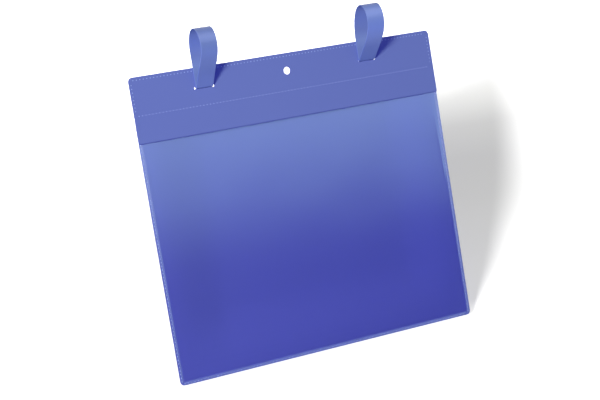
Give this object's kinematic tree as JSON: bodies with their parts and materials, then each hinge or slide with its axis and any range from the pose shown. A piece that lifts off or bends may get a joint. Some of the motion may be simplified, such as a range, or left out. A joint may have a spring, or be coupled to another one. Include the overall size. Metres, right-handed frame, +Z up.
{
  "type": "hanging document pocket",
  "caption": "Hanging plastic pocket for a landscape sheet, with a clear window, a rain flap over its mouth and strap loops on its header.",
  "frame": {"origin": "on the axis of a bar that both strap loops hang on, halfway between the loops", "axes": "+Z up, front facing -Y, +X along the pocket's width to the viewer's right"},
  "size_m": [0.311, 0.0379, 0.3137],
  "materials": {
    "header_plastic": "fine-grained blue sheet with dotted weld seams",
    "panel_plastic": "fine-grained deep blue sheet",
    "window_film": "clear glossy film",
    "strap_plastic": "satin blue strap"
  },
  "bodies": {
    "pocket": {"back_panel": "panel_plastic", "header_cover": "header_plastic", "window_film": "window_film", "left_strap_end_upper": "strap_plastic", "left_strap_end_lower": "strap_plastic", "right_strap_end_upper": "strap_plastic", "right_strap_end_lower": "strap_plastic"},
    "flap": {"rain_flap": "header_plastic"},
    "left_loop": {"left_hanging_loop": "strap_plastic"},
    "right_loop": {"right_hanging_loop": "strap_plastic"}
  },
  "joints": [
    {"name": "flap_fold", "type": "hinge", "parent": "pocket", "child": "flap", "pos_m": [0, 0.01709, -0.0652], "axis": [-1, 0, 0], "range_deg": [0, 110]},
    {"name": "left_loop_tilt", "type": "hinge", "parent": "pocket", "child": "left_loop", "pos_m": [-0.0845, 0.01684, -0.0477], "axis": [1, 0, 0], "range_deg": [0, 60], "stiffness_Nm_per_rad": 0.02},
    {"name": "right_loop_tilt", "type": "hinge", "parent": "pocket", "child": "right_loop", "pos_m": [0.0845, 0.01684, -0.0477], "axis": [1, 0, 0], "range_deg": [0, 60], "stiffness_Nm_per_rad": 0.02}
  ]
}
